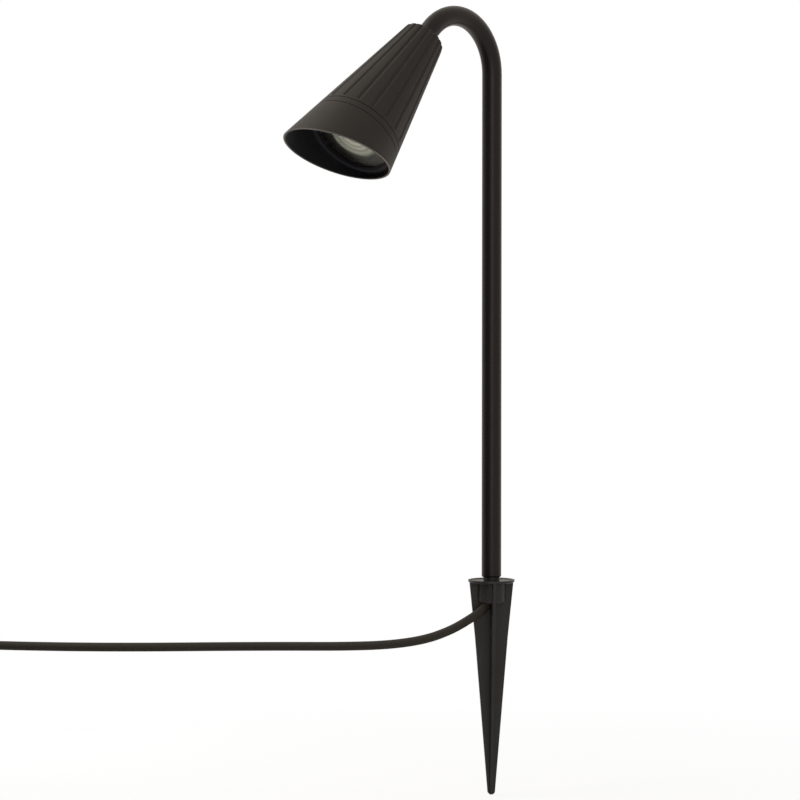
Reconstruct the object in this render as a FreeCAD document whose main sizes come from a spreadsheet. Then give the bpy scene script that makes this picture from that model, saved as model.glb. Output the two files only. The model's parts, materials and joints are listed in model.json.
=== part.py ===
"""Garden spike light: a gooseneck post on a ground spike, with a fluted conical head and an oblique hood.

Millimetres, +Z up. The origin is on the post's axis at the soil line, the level on which the lead lies.
The bend is in the YZ plane and the head points towards -Y.
"""
import FreeCAD, Part
import math
import os
from types import SimpleNamespace

import Sketcher

Vector = FreeCAD.Vector
Rotation = FreeCAD.Rotation
Placement = FreeCAD.Placement

# Driving dimensions, in millimetres and degrees

SIZES = {
    # post
    "tube_diameter": 15.4,
    "tube_wall": 1.5,
    "tube_end_round": 1.4,
    "post_height": 394.8,
    "bend_radius": 44.0,
    "bend_angle": 133.2,
    "neck_run": 11.2,
    # ground spike
    "flange_height": 54.2,
    "flange_diameter": 36.4,
    "flange_thickness": 2.2,
    "flange_lip_height": 0.7,
    "flange_lip_width": 1.2,
    "boss_diameter": 12.6,
    "boss_height": 1.6,
    "hub_room": 0.6,
    "hub_wall": 2.0,
    "hub_depth": 18.4,
    "hub_roof": 3.0,
    "hub_edge": 1.2,
    "spike_length": 169.5,
    "fin_inset": 0.8,
    "fin_knee_depth": 45.0,
    "fin_knee_reach": 12.9,
    "fin_tip_reach": 2.8,
    "fin_tip_round": 1.6,
    "fin_thickness": 2.4,
    "spike_turn": 49.0,
    # hollow screw joints at both ends of the tube
    "nipple_diameter": 10.0,
    "nipple_bore": 8.0,
    "nut_across_flats": 14.0,
    "nut_thickness": 3.0,
    "washer_lap": 0.3,
    "washer_thickness": 1.0,
    "plug_length": 13.0,
    "plug_step": 0.25,
    "foot_gap": 0.4,
    "nipple_overhang": 1.0,
    # head shell
    "flare_angle": 10.2,
    "rear_diameter": 33.4,
    "rear_round": 0.5,
    "shell_length": 103.8,
    "shell_wall": 2.5,
    "rear_wall": 6.0,
    "socket_depth": 3.0,
    "neck_seal_thickness": 1.0,
    "flute_count": 18,
    "flute_width": 3.6,
    "flute_floor": 0.4,
    "flute_depth": 0.9,
    "flute_stop": 2.4,
    "flute_turn": -1.0,
    "spigot_step": 2.05,
    "spigot_wall": 1.0,
    "spigot_length": 2.9,
    # front ring, glass and hood
    "ring_width": 6.1,
    "ring_gap": 0.6,
    "ring_lip": 3.1,
    "collar_step": 1.73,
    "collar_length": 2.3,
    "collar_edge": 1.1,
    "snap_depth": 0.5,
    "snap_width": 0.7,
    "gasket_thickness": 1.2,
    "gasket_width": 2.2,
    "glass_thickness": 2.5,
    "hood_wall": 1.6,
    "hood_reach": 21.6,
    "hood_tilt": 21.6,
    "hood_gap": 0.5,
    "rim_round": 0.35,
    # lamp and its holder
    "lamp_diameter": 50.0,
    "lamp_depth": 36.0,
    "lamp_neck_diameter": 17.0,
    "lamp_neck_length": 9.0,
    "lamp_setback": 6.8,
    "lamp_rim": 2.4,
    "lens_thickness": 2.6,
    "reflector_depth": 16.0,
    "reflector_edge": 1.3,
    "bowl_waist_inset": 7.0,
    "bowl_shoulder_inset": 1.8,
    "lens_step": 4.5,
    "lens_step_draft": 0.5,
    "chip_diameter": 12.0,
    "chip_thickness": 1.0,
    "pin_spacing": 5.3,
    "pin_diameter": 1.5,
    "pin_length": 7.5,
    "holder_width": 14.0,
    "holder_height": 10.0,
    "holder_round": 3.0,
    "bracket_thickness": 1.0,
    "bracket_gap": 0.35,
    "bracket_corner_angle": 28.0,
    "bracket_top_gap": 2.0,
    "screw_diameter": 3.0,
    "screw_length": 6.0,
    "screw_head_diameter": 5.4,
    "screw_head_height": 1.6,
    "lamp_ring_thickness": 1.5,
    "lamp_ring_lap": 0.8,
    "core_diameter": 2.2,
    "core_spacing": 3.6,
    "lead_stub": 4.0,
    # lead
    "lead_diameter": 7.0,
    "gland_gap": 1.4,
    "exit_height": 2.1,
    "exit_dip": 31.0,
    "lead_heading": 221.0,
    "coil_along": 447.0,
    "coil_across": -32.0,
    "coil_outer_radius": 48.0,
    "coil_gap": 0.7,
    "coil_lift": 1.2,
    "tail_length": 40.0,
    "tie_width": 8.0,
    "tie_thickness": 0.9,
    "tie_room": 0.5,
    "connector_diameter": 24.0,
    "connector_length": 28.0,
    "connector_gland_diameter": 20.0,
    "connector_gland_length": 16.0,
    "barrel_diameter": 16.0,
    "barrel_length": 14.0,
    "connector_edge": 1.0,
    "contact_diameter": 2.4,
    "contact_spacing": 6.4,
    "contact_length": 9.0,
    # clearances
    "fit": 0.05,
    "running_fit": 0.08,
    "slack": 0.1,
    "seat_gap": 0.2,
    "turn_gap": 0.3,
}

doc = FreeCAD.newDocument("garden_spike_light")
sheet = doc.addObject("Spreadsheet::Sheet", "sizes")


class Size:
    """A number that also carries its formula on the sheet."""

    def __init__(self, value, formula):
        self.value = float(value)
        self.formula = formula

    def joined(self, other, sign, value):
        return Size(value, f"({self.formula} {sign} {other.formula})")

    def __add__(self, other):
        other = as_size(other)
        return self.joined(other, "+", self.value + other.value)

    def __sub__(self, other):
        other = as_size(other)
        return self.joined(other, "-", self.value - other.value)

    def __mul__(self, other):
        other = as_size(other)
        return self.joined(other, "*", self.value * other.value)

    def __truediv__(self, other):
        other = as_size(other)
        return self.joined(other, "/", self.value / other.value)

    def __radd__(self, other):
        return as_size(other) + self

    def __rsub__(self, other):
        return as_size(other) - self

    def __rmul__(self, other):
        return as_size(other) * self

    def __neg__(self):
        return Size(-self.value, f"(0 - {self.formula})")

    def __float__(self):
        return self.value


def as_size(number):
    return number if isinstance(number, Size) else Size(number, repr(float(number)))


def sine(angle):
    return Size(math.sin(math.radians(angle.value)), f"sin({angle.formula} * 1deg)")


def cosine(angle):
    return Size(math.cos(math.radians(angle.value)), f"cos({angle.formula} * 1deg)")


def tangent(angle):
    return Size(math.tan(math.radians(angle.value)), f"tan({angle.formula} * 1deg)")


for row, (name, number) in enumerate(SIZES.items(), start=1):
    sheet.set(f"A{row}", name)
    sheet.set(f"B{row}", str(number))
    sheet.setAlias(f"B{row}", name)
doc.recompute()
s = SimpleNamespace(**{name: Size(sheet.get(name), f"sizes.{name}") for name in SIZES})

# Small modelling helpers

pieces = []


def new_body(label):
    body = doc.addObject("PartDesign::Body", label)
    body.Label = label
    pieces.append(body)
    return body


def origin_part(body, role):
    return next(item for item in body.Origin.OriginFeatures if item.Role == role)


def new_sketch(body, plane, height=None):
    """A sketch on one of the body's own planes, raised by a height along the plane's normal."""
    sketch = body.newObject("Sketcher::SketchObject", f"{body.Label}_sketch")
    sketch.AttachmentSupport = [(origin_part(body, plane), "")]
    sketch.MapMode = "FlatFace"
    if height is not None:
        sketch.setExpression("AttachmentOffset.Base.z", as_size(height).formula)
    return sketch


def hold(sketch, kind, *where, size):
    index = sketch.addConstraint(Sketcher.Constraint(kind, *where, float(size)))
    sketch.setExpression(f"Constraints[{index}]", as_size(size).formula)


def pin_point(sketch, geometry, end, x, y):
    """Hold one end of a sketch line, or a centre, at a place measured from the sketch's origin."""
    for axis, kind, size in ((-2, "DistanceX", x), (-1, "DistanceY", y)):
        if isinstance(size, Size):
            hold(sketch, kind, -1, 1, geometry, end, size=size)
        elif size == 0:
            sketch.addConstraint(Sketcher.Constraint("PointOnObject", geometry, end, axis))
        else:
            sketch.addConstraint(Sketcher.Constraint(kind, -1, 1, geometry, end, size))


def add_polygon(sketch, points):
    corners = [Vector(float(x), float(y), 0) for x, y in points]
    first = sketch.GeometryCount
    count = len(corners)
    for index in range(count):
        sketch.addGeometry(Part.LineSegment(corners[index], corners[(index + 1) % count]))
    for index in range(count):
        following = first + (index + 1) % count
        sketch.addConstraint(Sketcher.Constraint("Coincident", first + index, 2, following, 1))
    for index, (x, y) in enumerate(points):
        pin_point(sketch, first + index, 1, x, y)


def add_circle(sketch, radius, x=0, y=0):
    circle = Part.Circle(Vector(float(x), float(y), 0), Vector(0, 0, 1), float(radius))
    index = sketch.addGeometry(circle)
    pin_point(sketch, index, 3, x, y)
    hold(sketch, "Radius", index, size=radius)


def revolve(body, points, cut=False):
    """Turn a profile of radius and height about the body's Z axis."""
    sketch = new_sketch(body, "XZ_Plane")
    add_polygon(sketch, points)
    kind = "PartDesign::Groove" if cut else "PartDesign::Revolution"
    feature = body.newObject(kind, f"{body.Label}_turn")
    feature.Profile = sketch
    feature.ReferenceAxis = (sketch, ["V_Axis"])
    feature.Angle = 360
    return feature


def pad(body, sketch, length, midplane=False):
    feature = body.newObject("PartDesign::Pad", f"{body.Label}_pad")
    feature.Profile = sketch
    feature.SideType = "Symmetric" if midplane else "One side"
    feature.setExpression("Length", as_size(length).formula)
    return feature


def pocket(body, sketch, length, midplane=False, turned=False):
    feature = body.newObject("PartDesign::Pocket", f"{body.Label}_pocket")
    feature.Profile = sketch
    feature.SideType = "Symmetric" if midplane else "One side"
    feature.Reversed = turned
    feature.setExpression("Length", as_size(length).formula)
    return feature


def round_edges(body, radius, wanted):
    """Round the edges of the body's shape so far that the test picks out."""
    doc.recompute()
    base = body.Tip
    names = [f"Edge{i}" for i, edge in enumerate(base.Shape.Edges, start=1) if wanted(edge)]
    feature = body.newObject("PartDesign::Fillet", f"{body.Label}_round")
    feature.Base = (base, names)
    feature.setExpression("Radius", as_size(radius).formula)
    return feature


def turned(label, points):
    body = new_body(label)
    revolve(body, points)
    return body


def ring(label, inner, outer, low, high):
    return turned(label, [(inner, low), (outer, low), (outer, high), (inner, high)])


def hex_nut(label, low):
    body = new_body(label)
    sketch = new_sketch(body, "XY_Plane", low)
    half = s.nut_across_flats / 2
    add_polygon(sketch, [(nut_corner, 0), (nut_corner / 2, half), (-nut_corner / 2, half),
                         (-nut_corner, 0), (-nut_corner / 2, -half), (nut_corner / 2, -half)])
    add_circle(sketch, s.nipple_diameter / 2 + s.fit)
    pad(body, sketch, s.nut_thickness)
    return body


def solid_feature(label, shape):
    feature = doc.addObject("Part::Feature", label)
    feature.Label = label
    feature.Shape = shape
    pieces.append(feature)
    return feature


# Levels up the post, measured from the soil line

tube_radius = s.tube_diameter / 2
tube_bore = tube_radius - s.tube_wall
nipple_radius = s.nipple_diameter / 2
lead_radius = s.lead_diameter / 2
nut_corner = s.nut_across_flats / math.sqrt(3)
washer_radius = nut_corner + s.washer_lap
flange_top = s.flange_height
boss_top = flange_top + s.boss_height
tube_foot = boss_top + s.foot_gap
hub_roof_level = flange_top - s.hub_roof
hub_foot = flange_top - s.hub_depth
hub_bore = washer_radius + s.hub_room
hub_radius = hub_bore + s.hub_wall
foot_washer_top = hub_roof_level - s.slack
foot_nut_top = foot_washer_top - s.washer_thickness
foot_nut_foot = foot_nut_top - s.nut_thickness
foot_nipple_foot = foot_nut_foot - s.nipple_overhang
gland_foot = hub_foot + s.turn_gap
gland_top = foot_nipple_foot - s.gland_gap
bend_level = flange_top + s.post_height

# The head's own frame: +Z along its axis towards the light, from the rear face, and +Y up

head_y = -(s.bend_radius * (1 - cosine(s.bend_angle)) + s.neck_run * sine(s.bend_angle))
head_z = bend_level + s.bend_radius * sine(s.bend_angle) + s.neck_run * cosine(s.bend_angle)
flare = tangent(s.flare_angle)
tube_end = s.socket_depth - s.neck_seal_thickness


def cone_radius(height):
    """Radius of the head's outer cone at a height from its rear face."""
    return s.rear_diameter / 2 + flare * height


def place_in_head(piece):
    piece.Placement = Placement(Vector(), Rotation(Vector(1, 0, 0), float(s.bend_angle)))
    piece.setExpression("Placement.Base.y", head_y.formula)
    piece.setExpression("Placement.Base.z", head_z.formula)
    piece.setExpression("Placement.Rotation.Angle", f"{s.bend_angle.formula} * 1deg")
    return piece


def gooseneck(label, radius, low, past_face, bore=None):
    """A round bar or tube up the post, round the bend and on past the head's rear face."""
    body = new_body(label)
    section = new_sketch(body, "XY_Plane", low)
    add_circle(section, radius)
    if bore is not None:
        add_circle(section, bore)
    spine = new_sketch(body, "YZ_Plane")
    reach = -s.bend_radius * (1 - cosine(s.bend_angle))
    end_y = head_y - past_face * sine(s.bend_angle)
    end_z = head_z + past_face * cosine(s.bend_angle)
    centre = Vector(-float(s.bend_radius), float(bend_level), 0)
    turn = Part.Circle(centre, Vector(0, 0, 1), float(s.bend_radius))
    arc = Part.ArcOfCircle(turn, 0, math.radians(float(s.bend_angle)))
    start = Vector(0, float(bend_level), 0)
    spine.addGeometry(Part.LineSegment(Vector(0, float(low), 0), start))
    spine.addGeometry(arc)
    spine.addGeometry(Part.LineSegment(arc.EndPoint, Vector(float(end_y), float(end_z), 0)))
    spine.addConstraint(Sketcher.Constraint("Coincident", 0, 2, 1, 1))
    spine.addConstraint(Sketcher.Constraint("Coincident", 1, 2, 2, 1))
    pin_point(spine, 0, 1, 0, low)
    pin_point(spine, 0, 2, 0, bend_level)
    pin_point(spine, 1, 3, -s.bend_radius, bend_level)
    hold(spine, "DistanceX", -1, 1, 1, 2, size=reach)
    pin_point(spine, 2, 2, end_y, end_z)
    pipe = body.newObject("PartDesign::AdditivePipe", f"{label}_pipe")
    pipe.Profile = section
    pipe.Spine = (spine, ["Edge1", "Edge2", "Edge3"])
    return body


# Ground spike and what is held in it

def lead_exit():
    """Where the lead starts in the gland's middle and the way it points, with X towards its quarter."""
    dip = math.radians(float(s.exit_dip))
    start = Vector(0, 0, float(hub_foot + s.exit_height))
    return start, Vector(math.cos(dip), 0, -math.sin(dip))


def lead_hole(body, radius, turn, depth):
    """Bore a slanted hole along the lead from the place where it starts in its gland."""
    start, way = lead_exit()
    about_post = Rotation(Vector(0, 0, 1), turn)
    sketch = new_sketch(body, "XY_Plane")
    tilt = Rotation(Vector(0, 1, 0), 90 + float(s.exit_dip))
    sketch.AttachmentOffset = Placement(about_post.multVec(start), about_post.multiply(tilt))
    add_circle(sketch, radius)
    pocket(body, sketch, depth, turned=True)


EXIT_TURN = -135.0


def make_ground_spike():
    """One moulding: dished flange with a boss, a hub under it and four tapering fins down to a blunt tip."""
    body = new_body("ground_spike")
    rim = s.flange_diameter / 2
    boss = s.boss_diameter / 2
    dish = flange_top - s.flange_lip_height
    under = flange_top - s.flange_thickness
    revolve(body, [
        (0, hub_foot), (hub_radius - s.hub_edge, hub_foot), (hub_radius, hub_foot + s.hub_edge),
        (hub_radius, under), (rim - s.flange_lip_width, under), (rim, under + s.flange_lip_height),
        (rim, flange_top), (rim - s.flange_lip_width, flange_top), (rim - 2 * s.flange_lip_width, dish),
        (boss, dish), (boss, boss_top), (0, boss_top)])
    knee = flange_top - s.fin_knee_depth
    tip = flange_top - s.spike_length
    fin_top = under + s.flange_thickness / 2
    outline = [(rim - s.fin_inset, fin_top), (s.fin_knee_reach, knee),
               (s.fin_tip_reach, tip + s.fin_tip_round), (s.fin_tip_reach - s.fin_tip_round, tip)]
    mirrored = [(-x, z) for x, z in reversed(outline)]
    for plane in ("XZ_Plane", "YZ_Plane"):
        sketch = new_sketch(body, plane)
        add_polygon(sketch, outline + mirrored)
        pad(body, sketch, s.fin_thickness, midplane=True)
    hole = nipple_radius + s.fit
    revolve(body, [(0, hub_foot), (hub_bore, hub_foot), (hub_bore, hub_roof_level),
                   (hole, hub_roof_level), (hole, boss_top), (0, boss_top)], cut=True)
    lead_hole(body, lead_radius + s.turn_gap, EXIT_TURN, hub_radius + s.lead_diameter)
    body.Placement.Rotation = Rotation(Vector(0, 0, 1), float(s.spike_turn))
    body.setExpression("Placement.Rotation.Angle", f"{s.spike_turn.formula} * 1deg")


def make_lead_gland():
    """Rubber plug in the hub's bore, with the slanted hole that holds the end of the free lead."""
    body = turned("lead_gland", [(0, gland_foot), (hub_bore - s.slack, gland_foot),
                                 (hub_bore - s.slack, gland_top), (0, gland_top)])
    lead_hole(body, lead_radius + s.fit, EXIT_TURN, hub_radius)
    body.Placement.Rotation = Rotation(Vector(0, 0, 1), float(s.spike_turn))
    body.setExpression("Placement.Rotation.Angle", f"{s.spike_turn.formula} * 1deg")


# Post, with the hollow screw joint at its foot

def make_post():
    tube = gooseneck("post_tube", tube_radius, tube_foot, tube_end, bore=tube_bore)

    def lower_rim(edge):
        low = edge.BoundBox.ZMax < float(tube_foot) + 0.01
        return low and edge.BoundBox.XLength > float(tube_radius + tube_bore)

    round_edges(tube, s.tube_end_round, lower_rim)
    gooseneck("inner_lead", lead_radius, gland_top + s.turn_gap, head_lead_end)


def make_foot_joint():
    hole = nipple_radius + s.fit
    land = tube_bore - s.plug_step
    land_top = tube_foot + s.seat_gap
    turned("foot_plug", [(hole, boss_top + s.seat_gap), (land, boss_top + s.seat_gap), (land, land_top),
                         (tube_bore - s.fit, land_top), (tube_bore - s.fit, land_top + s.plug_length),
                         (hole, land_top + s.plug_length)])
    ring("foot_nipple", s.nipple_bore / 2, nipple_radius, foot_nipple_foot, land_top + s.plug_length)
    ring("foot_washer", hole, washer_radius, foot_nut_top, foot_washer_top)
    hex_nut("foot_nut", foot_nut_foot)


# Head: shell, screw joint, lamp and front

bracket_face = s.rear_wall + s.bracket_thickness
head_nut_foot = bracket_face + s.washer_thickness
head_nipple_end = head_nut_foot + s.nut_thickness + s.nipple_overhang
head_lead_end = head_nipple_end + s.lead_stub
lamp_front = s.shell_length - s.lamp_setback
lamp_foot = lamp_front - s.lamp_depth - s.lamp_neck_length
holder_foot = lamp_foot - s.holder_height
spigot_end = s.shell_length + s.spigot_length
gasket_end = spigot_end + s.gasket_thickness
glass_end = gasket_end + s.glass_thickness
ring_start = s.shell_length + s.ring_gap
ring_end = s.shell_length + s.ring_width
spigot_radius = cone_radius(s.shell_length) - s.spigot_step
front_bore = spigot_radius - s.spigot_wall
ring_bore = spigot_radius + s.slack
glass_radius = ring_bore - s.turn_gap
collar_radius = cone_radius(ring_end) - s.collar_step
collar_end = ring_end + s.collar_length
hood_start = ring_end + s.hood_gap
snap_low = hood_start + s.snap_width / 2
snap_high = snap_low + s.snap_width
cavity_rear = cone_radius(s.rear_wall) - s.shell_wall
bracket_reach = (cavity_rear - s.bracket_gap) * cosine(s.bracket_corner_angle)
bracket_width = 2 * (cavity_rear - s.bracket_gap) * sine(s.bracket_corner_angle)
bracket_inner = bracket_reach - s.bracket_thickness
holder_half = bracket_inner - s.slack
screw_level = holder_foot + s.holder_height / 2


def make_head_shell():
    """Die-cast hollow cone with sloping flutes, a socket for the tube behind and a spigot for the ring."""
    body = new_body("head_shell")
    socket = tube_radius + s.slack
    hole = nipple_radius + s.slack
    rear = s.rear_diameter / 2
    revolve(body, [(hole, s.socket_depth), (socket, s.socket_depth), (socket, 0), (rear - s.rear_round, 0),
                   (cone_radius(s.rear_round), s.rear_round), (cone_radius(s.shell_length), s.shell_length),
                   (spigot_radius, s.shell_length), (spigot_radius, spigot_end),
                   (front_bore, spigot_end), (front_bore, lamp_front),
                   (cone_radius(lamp_front) - s.shell_wall, lamp_front),
                   (cavity_rear, s.rear_wall), (hole, s.rear_wall)])
    depth = s.flute_depth
    half_floor = s.flute_floor / 2
    half_mouth = s.flute_width - half_floor
    sketch = new_sketch(body, "XY_Plane")
    about_axis = Rotation(Vector(0, 0, 1), float(s.flute_turn))
    along_cone = Rotation(Vector(0, 1, 0), float(s.flare_angle))
    start = Vector(float(cone_radius(-depth)), 0, -float(depth))
    sketch.AttachmentOffset = Placement(about_axis.multVec(start), about_axis.multiply(along_cone))
    add_polygon(sketch, [(-depth, -half_floor), (depth, -half_mouth),
                         (depth, half_mouth), (-depth, half_floor)])
    slope = (s.shell_length - s.flute_stop + depth) / cosine(s.flare_angle)
    flute = pocket(body, sketch, slope, turned=True)
    doc.recompute()
    flutes = body.newObject("PartDesign::PolarPattern", "flutes")
    flutes.Originals = [flute]
    flutes.Axis = (origin_part(body, "Z_Axis"), [""])
    flutes.Angle = 360
    flutes.setExpression("Occurrences", s.flute_count.formula)
    body.Tip = flutes
    place_in_head(body)


def make_head_joint():
    hole = nipple_radius + s.fit
    plug_start = tube_end - s.plug_length
    place_in_head(ring("head_plug", hole, tube_bore - s.fit, plug_start, tube_end))
    place_in_head(ring("head_nipple", s.nipple_bore / 2, nipple_radius, plug_start, head_nipple_end))
    place_in_head(ring("neck_seal", nipple_radius + s.seat_gap, tube_radius, tube_end, s.socket_depth))
    place_in_head(ring("head_washer", hole, washer_radius, bracket_face, head_nut_foot))
    place_in_head(hex_nut("head_nut", head_nut_foot))


def make_holder_bracket():
    """Steel strip bent to a U, clamped by the head nut, whose legs carry the lamp holder."""
    body = new_body("holder_bracket")
    outline = [(bracket_reach, s.rear_wall), (bracket_reach, lamp_foot - s.bracket_top_gap),
               (bracket_inner, lamp_foot - s.bracket_top_gap), (bracket_inner, bracket_face)]
    mirrored = [(-x, z) for x, z in reversed(outline)]
    sketch = new_sketch(body, "XZ_Plane")
    add_polygon(sketch, outline + mirrored)
    pad(body, sketch, bracket_width, midplane=True)
    hole = new_sketch(body, "XY_Plane", s.rear_wall)
    add_circle(hole, nipple_radius + s.slack)
    pocket(body, hole, s.bracket_thickness, turned=True)
    for_screws = new_sketch(body, "YZ_Plane")
    add_circle(for_screws, s.screw_diameter / 2 + s.fit, 0, screw_level)
    pocket(body, for_screws, 2 * bracket_reach, midplane=True)
    place_in_head(body)


def make_lamp_holder():
    """Ceramic two-pin holder, screwed from both sides."""
    body = new_body("lamp_holder")
    wide = s.holder_width / 2
    sketch = new_sketch(body, "XY_Plane", holder_foot)
    add_polygon(sketch, [(holder_half, wide), (-holder_half, wide),
                         (-holder_half, -wide), (holder_half, -wide)])
    for side in (-1, 1):
        add_circle(sketch, s.pin_diameter / 2 + s.slack, side * s.pin_spacing / 2, 0)
    pad(body, sketch, s.holder_height)

    def corner(edge):
        upright = edge.BoundBox.ZLength > float(s.holder_height) / 2
        return upright and abs(edge.CenterOfMass.y) > float(wide) - 0.1

    round_edges(body, s.holder_round, corner)
    for side, turn in ((1, False), (-1, True)):
        hole = new_sketch(body, "YZ_Plane", side * holder_half)
        add_circle(hole, s.screw_diameter / 2 + s.fit, 0, screw_level)
        pocket(body, hole, s.screw_length, turned=turn)
    place_in_head(body)


def head_placement():
    base = Vector(0, float(head_y), float(head_z))
    return Placement(base, Rotation(Vector(1, 0, 0), float(s.bend_angle)))


def make_holder_screws():
    """Two pan-head screws, one through each leg of the bracket."""
    face = float(bracket_reach)
    solids = []
    for side in (-1, 1):
        inward = Vector(-side, 0, 0)
        seat = Vector(side * face, 0, float(screw_level))
        grip = float(s.screw_length + s.bracket_thickness)
        shank = Part.makeCylinder(float(s.screw_diameter / 2), grip, seat, inward)
        head = Part.makeCylinder(float(s.screw_head_diameter / 2), float(s.screw_head_height), seat, -inward)
        solids.append(shank.fuse(head).removeSplitter())
    screws = solid_feature("holder_screws", Part.makeCompound(solids))
    screws.Placement = head_placement()


def pair_of_rods(label, diameter, spacing, low, high):
    """Two equal round rods side by side along the head's axis."""
    solids = []
    for side in (-1, 1):
        foot = Vector(side * float(spacing) / 2, 0, float(low))
        solids.append(Part.makeCylinder(float(diameter) / 2, float(high - low), foot))
    return solid_feature(label, Part.makeCompound(solids))


LENS_STEPS = 4


def make_lamp():
    """Reflector lamp: bowl with a dished front, lens, chip and two pins."""
    rim = s.lamp_diameter / 2
    neck = s.lamp_neck_diameter / 2
    lens = rim - s.lamp_rim
    lens_back = lamp_front - s.lens_thickness
    dish = lens_back - s.reflector_depth
    chip = s.chip_diameter / 2
    waist = lamp_foot + s.lamp_neck_length
    third = s.lamp_depth / 3
    place_in_head(turned("lamp_body", [
        (0, lamp_foot), (neck, lamp_foot), (neck, waist), (rim - s.bowl_waist_inset, waist + third),
        (rim - s.bowl_shoulder_inset, waist + 2 * third), (rim, lens_back), (rim, lamp_front),
        (lens, lamp_front), (lens, lens_back), (lens - s.reflector_edge, lens_back),
        (lens - s.bowl_waist_inset, lens_back - s.reflector_depth / 2), (chip + s.slack, dish), (0, dish)]))
    steps = [(0, lens_back), (lens - s.fit, lens_back), (lens - s.fit, lamp_front - s.lens_thickness / 2)]
    for count in range(1, LENS_STEPS + 1):
        foot = lens - count * s.lens_step
        steps.append((foot + s.lens_step_draft, lamp_front))
        steps.append((foot, lamp_front - s.lens_thickness / 3))
    steps.append((0, lamp_front))
    place_in_head(turned("lamp_lens", steps))
    place_in_head(turned("lamp_chip", [(0, dish), (chip, dish), (chip, dish + s.chip_thickness),
                                       (0, dish + s.chip_thickness)]))
    pins = pair_of_rods("lamp_pins", s.pin_diameter, s.pin_spacing, lamp_foot - s.pin_length, lamp_foot)
    pins.Placement = head_placement()
    cores = pair_of_rods("core_wires", s.core_diameter, s.core_spacing, head_lead_end, holder_foot)
    cores.Placement = head_placement()
    place_in_head(ring("lamp_ring", rim - s.lamp_ring_lap, front_bore - s.slack, lamp_front,
                       lamp_front + s.lamp_ring_thickness))


def make_front():
    """Gasket, glass, and the ring that holds them on the shell and carries the hood on its collar."""
    place_in_head(ring("front_gasket", glass_radius - s.gasket_width, glass_radius, spigot_end, gasket_end))
    place_in_head(turned("front_glass", [(0, gasket_end), (glass_radius, gasket_end),
                                         (glass_radius, glass_end), (0, glass_end)]))
    edge = collar_radius - s.collar_edge
    lip = glass_radius - s.ring_lip
    place_in_head(turned("front_ring", [
        (ring_bore, ring_start), (cone_radius(ring_start), ring_start), (cone_radius(ring_end), ring_end),
        (collar_radius, ring_end), (collar_radius, snap_low), (collar_radius - s.snap_depth, snap_low),
        (collar_radius - s.snap_depth, snap_high), (collar_radius, snap_high),
        (collar_radius, collar_end), (edge, collar_end),
        (lip, (glass_end + collar_end) / 2), (lip, glass_end), (ring_bore, glass_end)]))


def make_hood():
    """Thin cone that carries on the head's taper, turned on the ring's collar and cut off at a slant."""
    body = new_body("hood")
    bore = collar_radius + s.running_fit
    bead = collar_radius - s.snap_depth + s.slack
    seat_end = collar_end + s.hood_gap
    cut = ring_end + s.hood_reach
    slant = tangent(s.hood_tilt)
    span = 2 * collar_radius
    far = cut + span * slant
    revolve(body, [(bore, hood_start), (cone_radius(hood_start), hood_start), (cone_radius(far), far),
                   (cone_radius(far) - s.hood_wall, far), (cone_radius(seat_end) - s.hood_wall, seat_end),
                   (bore, seat_end), (bore, snap_high - s.slack), (bead, snap_high - s.slack),
                   (bead, snap_low + s.slack), (bore, snap_low + s.slack)])
    sketch = new_sketch(body, "YZ_Plane")
    add_polygon(sketch, [(-span, cut - span * slant), (span, far), (span, far + span), (-span, far + span)])
    pocket(body, sketch, 2 * span, midplane=True)

    def rim(edge):
        return edge.BoundBox.ZLength > float(collar_radius * slant)

    round_edges(body, s.rim_round, rim)
    place_in_head(body)


# Lead: free stretch, coil, tie and connector, in a frame whose X axis is the lead's heading

lead_place = Placement(Vector(), Rotation(Vector(0, 0, 1), float(s.lead_heading)))
ROUTE = [
    (17.5, 15.0, 24.3),
    (32.0, 19.5, 16.3),
    (52.0, 22.5, 9.3),
    (80.0, 23.5, 5.3),
    (116.0, 22.0, 4.0),
    (160.0, 18.2, 3.7),
    (210.0, 19.0, 3.6),
    (262.0, 23.2, 3.6),
    (316.0, 23.0, 3.6),
    (368.0, 18.6, 3.9),
]
FIRST_RUN = 13.0
LAST_RUN = 40.0
ARC_SHARE = 0.45


def rounded_path(points):
    """Straight runs joined by tangent arcs, each as large as its two runs allow."""
    edges = []
    radii = []
    last = points[0]
    for before, corner, after in zip(points, points[1:], points[2:]):
        back = (before - corner).normalize()
        on = (after - corner).normalize()
        half_turn = (math.pi - back.getAngle(on)) / 2
        reach = ARC_SHARE * min((before - corner).Length, (after - corner).Length)
        radius = reach / math.tan(half_turn)
        rise = radius / math.cos(half_turn) - radius
        middle = corner + (back + on).normalize() * rise
        start = corner + back * reach
        end = corner + on * reach
        edges.append(Part.LineSegment(last, start).toShape())
        edges.append(Part.Arc(start, middle, end).toShape())
        radii.append(round(radius, 1))
        last = end
    edges.append(Part.LineSegment(last, points[-1]).toShape())
    return edges, radii


def round_tube(edges, radius):
    """A round bar along joined edges, with its volume set against section times length."""
    path = Part.Wire(edges)
    first = edges[0]
    start = first.valueAt(first.FirstParameter)
    way = first.tangentAt(first.FirstParameter)
    section = Part.Wire([Part.makeCircle(radius, start, way)])
    bar = path.makePipeShell([section], True, False)
    expected = math.pi * radius ** 2 * path.Length
    print("tube length", round(path.Length, 1), "volume share", round(bar.Volume / expected, 4))
    return bar


def biarc(start, way, end, end_way):
    """Two arcs that leave one point and reach another along the given directions."""
    span = end - start
    both = way + end_way
    turn = 2 * (1 - way.dot(end_way))
    across = span.dot(both)
    reach = (math.sqrt(across ** 2 + turn * span.dot(span)) - across) / turn
    joint = (start + way * reach + end - end_way * reach) * 0.5
    return [tangent_arc(start, way, joint), tangent_arc(end, -end_way, joint, backwards=True)]


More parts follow.
